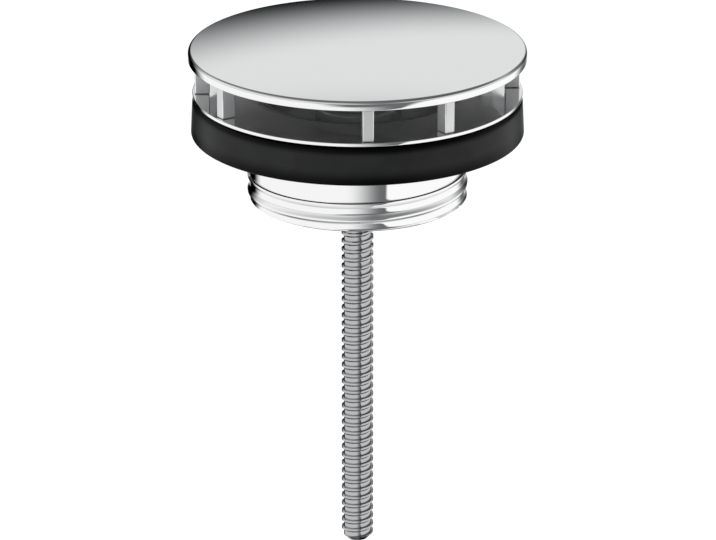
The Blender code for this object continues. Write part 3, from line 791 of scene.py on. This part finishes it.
def socket_head(top, radius, height, socket_radius, socket_depth, shank):
    """Outline and hexagon rows of a head seen from its socket: cone, hexagon walls, drilled floor, rim."""
    inward = math.copysign(1, height)
    chamfer = FINE_ROUND
    socket = [
        (0, top - inward * (socket_depth + socket_radius / 4), 0),
        (socket_radius * math.cos(math.pi / 6), top - inward * socket_depth, 0),
        (socket_radius, top - inward * socket_depth, 0),
        (socket_radius, top - inward * chamfer, 0),
        (socket_radius + chamfer, top, 0),
    ]
    rim = rounded([
        (socket_radius + chamfer, top, 0),
        (radius, top, 2 * SMALL_ROUND),
        (radius, top - height, FINE_ROUND),
        (shank, top - height, 0),
    ], closed=False)
    outline = np.concatenate([np.array(socket)[:, :2], rim[1:]])
    flats = np.zeros(len(outline), bool)
    flats[2:5] = True
    return outline, flats


def stem_screw():
    """The small socket screw, head down, with a fine thread on its shank."""
    bearing = FIXING_LOW + FIXING_HEAD_HEIGHT
    outline, flats = socket_head(FIXING_LOW, FIXING_HEAD_RADIUS, -FIXING_HEAD_HEIGHT, FIXING_SOCKET_RADIUS,
                                 FIXING_SOCKET_DEPTH, FIXING_RADIUS)
    thread = thread_outline(fixing_shares, SHARP_THREAD_ROUND, SHARP_THREAD_ROUND)
    root = FIXING_RADIUS - FIXING_THREAD_HEIGHT
    shank_top = bearing + 2 * FIXING_PITCH

    def radius_at(phase, turn, z):
        lead = root - FIXING_THREAD_HEIGHT + (FIXING_HIGH - z)
        plain = smooth(shank_top, shank_top - FIXING_PITCH, z)
        return np.minimum(root + FIXING_THREAD_HEIGHT * np.maximum(height_at(thread, phase), plain), lead)

    shank = threaded(thread[:, 0], FIXING_PITCH, bearing, bearing, FIXING_HIGH, SMALL_COLUMNS, radius_at)
    end = np.array([[root - FIXING_THREAD_HEIGHT, FIXING_HIGH], [0, FIXING_HIGH]])
    grids = [hex_turned(outline, flats, SMALL_COLUMNS), shank, turned(end, SMALL_COLUMNS, closed=False)]
    piece("fixing_screw", grids, STEEL, "cover", ["stem_screw"])


def stem_rings():
    """Two rings of round section."""
    section = arc((RING_CENTRE, 0), RING_SECTION, 0, 360, 4 * ARC_STEPS)[:-1]
    for node, height in RING_HEIGHTS.items():
        outline = section + np.array([0, STEM_TIP + height])
        name = node.replace("stem_", "") + "_rubber"
        piece(name, [turned(outline, SMALL_COLUMNS)], RING_RUBBER, "seal_rings", [node],
              weighted=False)


# Valve body


def flange_dish():
    """Pressed sheet: flat flange, round entry, throat and inturned lip."""
    inside = THROAT_RADIUS - SHEET
    lip = LIP_LOW + SHEET
    outline = rounded([
        (FLANGE_RADIUS, FLOOR, FLANGE_EDGE),
        (FLANGE_RADIUS, FLOOR - SHEET, FLANGE_EDGE),
        (THROAT_RADIUS, FLOOR - SHEET, BEND_RADIUS),
        (THROAT_RADIUS, LIP_LOW, 2 * SMALL_ROUND),
        (LIP_RADIUS, LIP_LOW, FINE_ROUND),
        (LIP_RADIUS, lip, FINE_ROUND),
        (inside, lip, SMALL_ROUND),
        (inside, FLOOR, BEND_RADIUS + SHEET),
    ], steps=3 * ARC_STEPS)
    piece("dish_pressing", [turned(outline, LARGE_COLUMNS)], DISH_CHROME, "valve_body", ["flange_dish"])


def basin_seal():
    """The thick ring: a slightly tapered side, a rounded top edge and a sharper foot."""
    outline = rounded([
        (SEAL_BORE, SEAL_TOP, SMALL_ROUND),
        (SEAL_RADIUS + SEAL_SWELL - SEAL_TAPER, SEAL_TOP, SEAL_TOP_ROUND),
        (SEAL_RADIUS + SEAL_SWELL, 0, SEAL_FOOT_ROUND),
        (SEAL_BORE, 0, SMALL_ROUND),
    ], steps=2 * ARC_STEPS)
    piece("seal_ring", [turned(outline, LARGE_COLUMNS)], SEAL_RUBBER, "valve_body", ["basin_seal"])


def threaded_collar():
    """A tube with a ridge that rises from below its end face to its middle, and a shoulder inside.

    The ridge's upper flank is gradual near the end, where the thread is worn, and steep further up.
    """
    sharp = thread_outline(collar_sharp_shares, COLLAR_THREAD_ROUND, COLLAR_THREAD_ROUND)
    worn = thread_outline(collar_worn_shares, COLLAR_WORN_ROUND, COLLAR_THREAD_ROUND)
    phases = np.unique(np.concatenate([sharp[:, 0], worn[:, 0]]))
    low = COLLAR_END + COLLAR_CHAMFER
    start = COLLAR_END + COLLAR_THREAD_START
    first, last = COLLAR_THREAD_TURNS

    def radius_at(phase, turn, z):
        wear = smooth(COLLAR_WORN_TURNS[1], COLLAR_WORN_TURNS[0], turn)
        share = (1 - wear) * height_at(sharp, phase) + wear * height_at(worn, phase)
        rise = smooth(first, first + COLLAR_RUNOUT_TURNS, turn)
        fall = smooth(last, last - COLLAR_RUNOUT_TURNS, turn)
        lead = COLLAR_RADIUS + COLLAR_LEAD_SLOPE * (z - low)
        return np.minimum(COLLAR_RADIUS + COLLAR_THREAD_HEIGHT * share * rise * fall, lead)

    tube = threaded(phases, COLLAR_PITCH, start, low, SEAL_TOP - FINE_ROUND, LARGE_COLUMNS, radius_at)
    shoulder = COLLAR_END + COLLAR_LOWER_DEPTH
    rest = rounded([
        (COLLAR_RADIUS, SEAL_TOP - FINE_ROUND, 0),
        (COLLAR_RADIUS - FINE_ROUND, SEAL_TOP, 0),
        (COLLAR_BORE, SEAL_TOP, COLLAR_ENTRY_ROUND),
        (COLLAR_BORE, shoulder + COLLAR_SHOULDER, FINE_ROUND),
        (LIP_RADIUS, shoulder + COLLAR_SHOULDER, FINE_ROUND),
        (LIP_RADIUS, shoulder, FINE_ROUND),
        (COLLAR_LOWER_BORE, shoulder, FINE_ROUND),
        (COLLAR_LOWER_BORE, COLLAR_END, SMALL_ROUND),
        (COLLAR_RADIUS - COLLAR_CHAMFER, COLLAR_END, SMALL_ROUND / 2),
        (COLLAR_RADIUS, low, 0),
    ], closed=False)
    piece("collar_tube", [tube, turned(rest, LARGE_COLUMNS, closed=False)], CHROME, "valve_body",
          ["threaded_collar"])


def bridge():
    """Seat ring with a skirt and clip groove, deep hub, and four rounded arms between them."""
    skirt_end = CLIP_LOW - GROOVE_SPARE - SKIRT_END
    ring = rounded([
        (RING_OUTER, RING_LOW + RING_HEIGHT, SMALL_ROUND),
        (RING_OUTER, RING_LOW, FINE_ROUND),
        (SKIRT_RADIUS, RING_LOW, FINE_ROUND),
        (SKIRT_RADIUS, CLIP_HIGH + GROOVE_SPARE, FINE_ROUND),
        (GROOVE_RADIUS, CLIP_HIGH + GROOVE_SPARE, FINE_ROUND),
        (GROOVE_RADIUS, CLIP_LOW - GROOVE_SPARE, FINE_ROUND),
        (SKIRT_RADIUS, CLIP_LOW - GROOVE_SPARE, FINE_ROUND),
        (SKIRT_RADIUS, skirt_end, FINE_ROUND),
        (SKIRT_BORE, skirt_end, FINE_ROUND),
        (SKIRT_BORE, RING_LOW + RING_HEIGHT, SMALL_ROUND),
    ])
    hub = rounded([
        (HUB_RADIUS, HUB_TOP, SMALL_ROUND),
        (HUB_RADIUS, HUB_END, SMALL_ROUND),
        (SCREW_BORE, HUB_END, FINE_ROUND),
        (SCREW_BORE, HUB_END + HUB_FLOOR, FINE_ROUND),
        (HUB_BORE, HUB_END + HUB_FLOOR, FINE_ROUND),
        (HUB_BORE, HUB_TOP, SMALL_ROUND),
    ])
    inner, outer = HUB_RADIUS - ARM_BURY, SKIRT_BORE + ARM_BURY
    height = RING_LOW + RING_HEIGHT - ARM_SETBACK - ARM_HEIGHT / 2
    grids = [turned(ring, LARGE_COLUMNS), turned(hub, SMALL_COLUMNS)]
    for number in range(ARMS):
        azimuth = (number + 0.5) * 2 * math.pi / ARMS
        x, y = around(azimuth, (inner + outer) / 2)
        grids.append(bar((ARM_WIDTH, outer - inner, ARM_HEIGHT), ARM_EDGE, (x, y, height), azimuth))
    piece("bridge_casting", grids, BRASS, "valve_body", ["bridge"])


def bridge_circlip():
    """An open ring of rounded rectangular section that closes at both ends."""
    section = ring_section(CLIP_RADIUS, CLIP_BORE, CLIP_LOW, CLIP_HIGH)
    section = np.concatenate([section, section[:1]])
    half_gap = math.asin(CLIP_OPENING / 2 / CLIP_RADIUS)
    azimuth = np.linspace(math.pi + half_gap, 3 * math.pi - half_gap, LARGE_COLUMNS)[None, :]
    middle = section.mean(axis=0, keepdims=True)
    shrink = np.ones((1, LARGE_COLUMNS))
    azimuth = np.concatenate([azimuth[:, :1], azimuth, azimuth[:, -1:]], axis=1)
    shrink = np.pad(shrink, ((0, 0), (1, 1)))
    radius = middle[0, 0] + (section[:, :1] - middle[0, 0]) * shrink
    height = middle[0, 1] + (section[:, 1:] - middle[0, 1]) * shrink
    x, y = around(azimuth, radius)
    piece("clip_ring", [np.stack([x, y, height], axis=2)], SPRING, "valve_body", ["bridge_circlip"])


def flat_ring(name, radius, low, high, material, body, node):
    """A washer round the screw."""
    outline = ring_section(radius, SCREW_BORE, low, high)
    piece(name, [turned(outline, SMALL_COLUMNS)], material, body, [node])


# Clamp screw


def clamp_screw():
    """Socket head, plain shank and a long thread with a chamfered tip."""
    outline, flats = socket_head(HEAD_TOP, HEAD_RADIUS, HEAD_HEIGHT, SOCKET_RADIUS, SOCKET_DEPTH,
                                 SCREW_RADIUS)
    bearing = HEAD_TOP - HEAD_HEIGHT
    root = SCREW_RADIUS - SCREW_THREAD_HEIGHT
    thread = thread_outline(screw_shares, SCREW_ROOT_ROUND, SCREW_CREST_ROUND)
    tip_radius = root - TIP_CHAMFER

    def radius_at(phase, turn, z):
        plain = smooth(SHANK_END - SCREW_PITCH / 2, SHANK_END, z)
        lead = tip_radius + TIP_LEAD_SLOPE * (z - SCREW_TIP)
        ridge = SCREW_THREAD_HEIGHT * np.maximum(height_at(thread, phase), plain)
        return np.minimum(root + ROD_SWELL * (1 - plain) + ridge, lead)

    start = SCREW_TIP + SCREW_THREAD_START
    shaft = threaded(thread[:, 0], SCREW_PITCH, start, SCREW_TIP, bearing, ROD_COLUMNS, radius_at)
    end = np.array([[tip_radius, SCREW_TIP], [0, SCREW_TIP]])
    grids = [hex_turned(outline, flats, ROD_COLUMNS * 3), shaft, turned(end, ROD_COLUMNS, closed=False)]
    piece("screw_rod", grids, STEEL, "screw", ["clamp_screw"], weighted=False)


cover_cap()
cover_insert()
cover_posts()
cover_stem()
stem_screw()
stem_rings()
flange_dish()
basin_seal()
threaded_collar()
bridge()
bridge_circlip()
flat_ring("head_washer", WASHER_RADIUS, WASHER_LOW, WASHER_HIGH, STEEL, "valve_body",
          "screw_washer")
flat_ring("keeper_ring", RETAINER_RADIUS, RETAINER_LOW, RETAINER_HIGH - KEEPER_GAP, FIBRE, "screw",
          "screw_retainer")
clamp_screw()


# Studio

CAMERA_PLACE = (0, -0.86107, 0.2960)
CAMERA_AIM = math.radians(90 - 20.651)
LENS = 239.2
SENSOR = 36.0
SHIFT_X = 0.0007
FLOOR_DROP = 0.35
FLOOR_HALF = 4.0
FLOOR_GREY = 0.9
FLOOR_GLOW = 0.25
FLOOR_ROUGHNESS = 0.9
KEY_PLACE = (-0.5, -0.3, 1.2)
KEY_SIZE = 0.8
KEY_WATTS = 6.0

# What is mirrored. A range holds where a change begins and ends, in degrees, then the values at both
# ends where these aren't 0 and 1. Elevations count from eye level and spreads from straight behind.
# WALL_CHANGE and TABLE_BACK count in the X and Y of the ray's direction. A line holds a slope and the
# value at 0
FALLING = (1.0, 0.0)
HORIZON = (-9.0, -3.0)
LEFT_WALL = (5.0, 68.0, 0.95, 0.15)
RIGHT_WALL = (2.0, 45.0, 1.0, 0.10)
WALL_CHANGE = (-0.3, 0.6)
TABLE_SHADE = (-42.0, -22.0, 0.74, 1.0)
TABLE_STEEP = (-60.0, -38.0)
TABLE_BACK = (-0.7, 0.35, 1.0, 0.2)
SIDE_CHANGE = (-1.0, 1.0)
LEFT_FLAG_SPREAD = ((3.0, 20.0), (36.0, 56.0, *FALLING))
LEFT_FLAG_HEIGHT = ((-36.0, -26.0), (10.0, 18.0, *FALLING))
RIGHT_FLAG_SPREAD = ((3.0, 24.0), (30.0, 50.0, 0.85, 0.0))
RIGHT_FLAG_TOP = (8.0, 14.0, *FALLING)
PANEL_LIGHT = (25.5, 41.0, 0.76, 0.13)
PANEL_SPREAD = (20.0, 78.0, *FALLING)
CARD_TOP = (-0.75, 13.5)
CARD_EDGE = (-8.1, 5.6, *FALLING)
CARD_SPREAD = (12.0, 75.0, *FALLING)
GREY_SPREAD = ((12.0, 26.0, 0.0, 0.8), (40.0, 75.0, *FALLING))
GREY_TOP = (26.0, 36.0, *FALLING)
SKIRTING_HEIGHT = ((-9.0, -3.0, 0.0, 0.4), (3.0, 15.0, *FALLING))
SKIRTING_SPREAD = (40.0, 90.0)
COLLAR_ELEVATION = -20.65
SCREEN_LEFT = (-14.0, 27.0)
SCREEN_WIDER = ((-17.5, -14.5), (0.0, 20.0, *FALLING))
SCREEN_SLANT = (0.5, 24.0)
SCREEN_LEFT_WIDE = (-13.0, 13.0)
SCREEN_REACH = (1.5, 29.6)
SCREEN_REACH_TOP = (0.7, 52.7)
LEAST_REACH = 18.0
HIGH_REACH = 27.0
REACH_CHANGE = (0.0, 15.0)
SCREEN_BLUR = (0.9, 0.8)
BLUR_LIMITS = (0.8, 14.0)
SCREEN_FOOT = (-35.0, -21.0, 0.55, 1.0)
SCREEN_LIGHT = 0.15
FILL_LIGHT = 0.85
COOL_TINT = (0.95, 1.0, 1.02, 1)


def band(tree, value, rise, fall):
    """A share that rises over one range of the value and falls over a later one."""
    return calc(tree, "MULTIPLY", ramp(tree, value, *rise), ramp(tree, value, *fall))


def line(tree, value, slope, offset):
    return calc(tree, "MULTIPLY_ADD", value, slope, offset)


def dimmed(tree, light, share):
    """The light less the given share of it."""
    return calc(tree, "MULTIPLY", light, calc(tree, "SUBTRACT", 1.0, share))


class Look:
    """Where a ray points, in degrees: elevation, azimuth from the front and from straight behind."""

    def __init__(self, tree):
        direction = new_node(tree, "ShaderNodeTexCoord").outputs["Generated"]
        parts = new_node(tree, "ShaderNodeSeparateXYZ", {0: direction}).outputs
        degrees = 180 / math.pi
        self.x = parts["X"]
        self.y = parts["Y"]
        front = calc(tree, "MULTIPLY", self.y, -1.0)
        self.elevation = calc(tree, "MULTIPLY", calc(tree, "ARCSINE", parts["Z"]), degrees)
        self.azimuth = calc(tree, "MULTIPLY", calc(tree, "ARCTAN2", self.x, front), degrees)
        self.off_back = calc(tree, "MULTIPLY", calc(tree, "ARCTAN2", self.x, self.y), degrees)
        self.spread = calc(tree, "ABSOLUTE", self.off_back)
        self.on_right = ramp(tree, self.off_back, *SIDE_CHANGE)


def side_walls(tree, look):
    """Walls to the left and right, light below eye level and dark towards the ceiling."""
    left = ramp(tree, look.elevation, *LEFT_WALL)
    right = ramp(tree, look.elevation, *RIGHT_WALL)
    return blend_values(tree, ramp(tree, look.x, *WALL_CHANGE), left, right)


def table_share(tree, look):
    """How much of the walls' light is left below eye level: a table that is darkest behind."""
    shade = ramp(tree, look.elevation, *TABLE_SHADE)
    back = ramp(tree, look.y, *TABLE_BACK, "LINEAR")
    far_off = blend_values(tree, ramp(tree, look.elevation, *TABLE_STEEP), back, 1.0)
    return calc(tree, "MULTIPLY", shade, far_off)


def flags(tree, look):
    """Two flags low behind, to the left black and to the right dark grey."""
    left = calc(tree, "MULTIPLY", band(tree, look.spread, *LEFT_FLAG_SPREAD),
                band(tree, look.elevation, *LEFT_FLAG_HEIGHT))
    right = calc(tree, "MULTIPLY", band(tree, look.spread, *RIGHT_FLAG_SPREAD),
                 ramp(tree, look.elevation, *RIGHT_FLAG_TOP))
    return blend_values(tree, look.on_right, left, right)


def back_wall(tree, look, walls):
    """A light panel behind, with a slanting dark card in its lower part and a grey card to its right."""
    panel = ramp(tree, look.elevation, *PANEL_LIGHT)
    over_card = calc(tree, "SUBTRACT", look.elevation, line(tree, look.off_back, *CARD_TOP))
    card = calc(tree, "MULTIPLY", ramp(tree, over_card, *CARD_EDGE), ramp(tree, look.spread, *CARD_SPREAD))
    grey = calc(tree, "MULTIPLY", band(tree, look.spread, *GREY_SPREAD), look.on_right)
    grey = calc(tree, "MULTIPLY", grey, ramp(tree, look.elevation, *GREY_TOP))
    light = blend_values(tree, ramp(tree, look.spread, *PANEL_SPREAD), walls, panel)
    return dimmed(tree, light, calc(tree, "MAXIMUM", card, grey))


def skirting(tree, look):
    """The dark far edge of the table, round the front and the sides."""
    return calc(tree, "MULTIPLY", band(tree, look.elevation, *SKIRTING_HEIGHT),
                ramp(tree, look.spread, *SKIRTING_SPREAD))


def front_screen(tree, look):
    """A dark screen in front, with a soft left edge and a right edge that is sharp at the collar's height.

    Just above that height it widens to both sides, and over the horizon it is narrow again.
    """
    above = calc(tree, "SUBTRACT", look.elevation, COLLAR_ELEVATION)
    slanted = calc(tree, "ADD", look.azimuth, line(tree, look.elevation, *SCREEN_SLANT))
    left_edge = blend_values(tree, band(tree, look.elevation, *SCREEN_WIDER),
                             ramp(tree, look.azimuth, *SCREEN_LEFT), ramp(tree, slanted, *SCREEN_LEFT_WIDE))
    reach = calc(tree, "MINIMUM", line(tree, above, *SCREEN_REACH),
                 line(tree, look.elevation, *SCREEN_REACH_TOP))
    reach = calc(tree, "MAXIMUM", reach, LEAST_REACH)
    reach = blend_values(tree, ramp(tree, look.elevation, *REACH_CHANGE), reach, HIGH_REACH)
    past = calc(tree, "SUBTRACT", look.azimuth, reach)
    sharpest, softest = BLUR_LIMITS
    blur = calc(tree, "MAXIMUM", line(tree, above, *SCREEN_BLUR), sharpest)
    blur = calc(tree, "MINIMUM", blur, softest)
    right_edge = ramp(tree, calc(tree, "DIVIDE", past, blur), -1.0, 1.0, *FALLING)
    screen = calc(tree, "MULTIPLY", left_edge, right_edge)
    return calc(tree, "MULTIPLY", screen, ramp(tree, look.elevation, *SCREEN_FOOT))


def studio_world():
    """Walls and cards that the metal mirrors, and a plain white for everything else.

    Below eye level the mirrored room is a light table, darker behind and at its far edge, with two
    dark flags behind. Above, a light panel with dark cards stands behind between walls that darken
    towards the ceiling, and a dark screen stands in front.
    """
    world = bpy.data.worlds.new("studio")
    bpy.context.scene.world = world
    world.use_nodes = True
    tree = world.node_tree
    tree.nodes.clear()
    look = Look(tree)
    walls = side_walls(tree, look)
    table = calc(tree, "MULTIPLY", walls, table_share(tree, look))
    room = blend_values(tree, ramp(tree, look.elevation, *HORIZON), table, back_wall(tree, look, walls))
    room = dimmed(tree, room, flags(tree, look))
    room = dimmed(tree, room, skirting(tree, look))
    mirrored = blend_values(tree, front_screen(tree, look), room, SCREEN_LIGHT)
    cool = new_node(tree, "ShaderNodeMix", {0: mirrored, 6: COOL_TINT, 7: (1, 1, 1, 1)}, data_type="RGBA")
    path = new_node(tree, "ShaderNodeLightPath").outputs
    seen_in_metal = calc(tree, "MAXIMUM", path["Is Glossy Ray"], path["Is Transmission Ray"])
    strength = blend_values(tree, seen_in_metal, FILL_LIGHT, mirrored)
    strength = blend_values(tree, path["Is Camera Ray"], strength, 1.0)
    colour = new_node(tree, "ShaderNodeMix", {0: seen_in_metal, 6: (1, 1, 1, 1), 7: cool.outputs[2]},
                      data_type="RGBA")
    light = new_node(tree, "ShaderNodeBackground", {"Color": colour.outputs[2], "Strength": strength})
    output = new_node(tree, "ShaderNodeOutputWorld")
    tree.links.new(light.outputs[0], output.inputs["Surface"])


def studio_floor():
    """A wide pale floor well below the valve, white to the camera and darker in the valve's shadow."""
    ends = np.array([-FLOOR_HALF, FLOOR_HALF])
    x, y = np.meshgrid(ends, ends)
    grid = np.stack([x, y, np.full(x.shape, -FLOOR_DROP)], axis=2)
    mesh = mesh_of("studio_floor", [grid])
    floor = bpy.data.objects.new("studio_floor", mesh)
    bpy.context.scene.collection.objects.link(floor)
    pale = (FLOOR_GREY, FLOOR_GREY, FLOOR_GREY, 1)
    material, tree, shader = new_material("pale_floor", Base_Color=pale, Roughness=FLOOR_ROUGHNESS,
                                          Specular_IOR_Level=0.0)
    path = new_node(tree, "ShaderNodeLightPath").outputs
    shader.inputs["Emission Color"].default_value = (1, 1, 1, 1)
    glow = calc(tree, "MULTIPLY", path["Is Camera Ray"], FLOOR_GLOW)
    tree.links.new(glow, shader.inputs["Emission Strength"])
    mesh.materials.append(material)
    floor.visible_glossy = False
    floor.visible_transmission = False


def studio_lamp():
    """One large soft lamp above, to the left, which gives the valve its soft shadow."""
    lamp = bpy.data.lights.new("key", "AREA")
    lamp.shape = "DISK"
    lamp.size = KEY_SIZE
    lamp.energy = KEY_WATTS
    key = bpy.data.objects.new("key", lamp)
    key.location = KEY_PLACE
    aim = -np.array(KEY_PLACE)
    key.rotation_euler = (math.acos(-aim[2] / np.linalg.norm(aim)), 0, math.atan2(aim[0], -aim[1]) + math.pi)
    key.visible_glossy = False
    bpy.context.scene.collection.objects.link(key)


def studio_camera():
    camera = bpy.data.cameras.new("camera")
    camera.lens = LENS
    camera.sensor_width = SENSOR
    camera.shift_x = SHIFT_X
    obj = bpy.data.objects.new("camera", camera)
    obj.location = CAMERA_PLACE
    obj.rotation_euler = (CAMERA_AIM, 0, 0)
    bpy.context.scene.collection.objects.link(obj)
    bpy.context.scene.camera = obj


studio_world()
studio_floor()
studio_lamp()
studio_camera()
bpy.context.scene.view_settings.view_transform = "Standard"
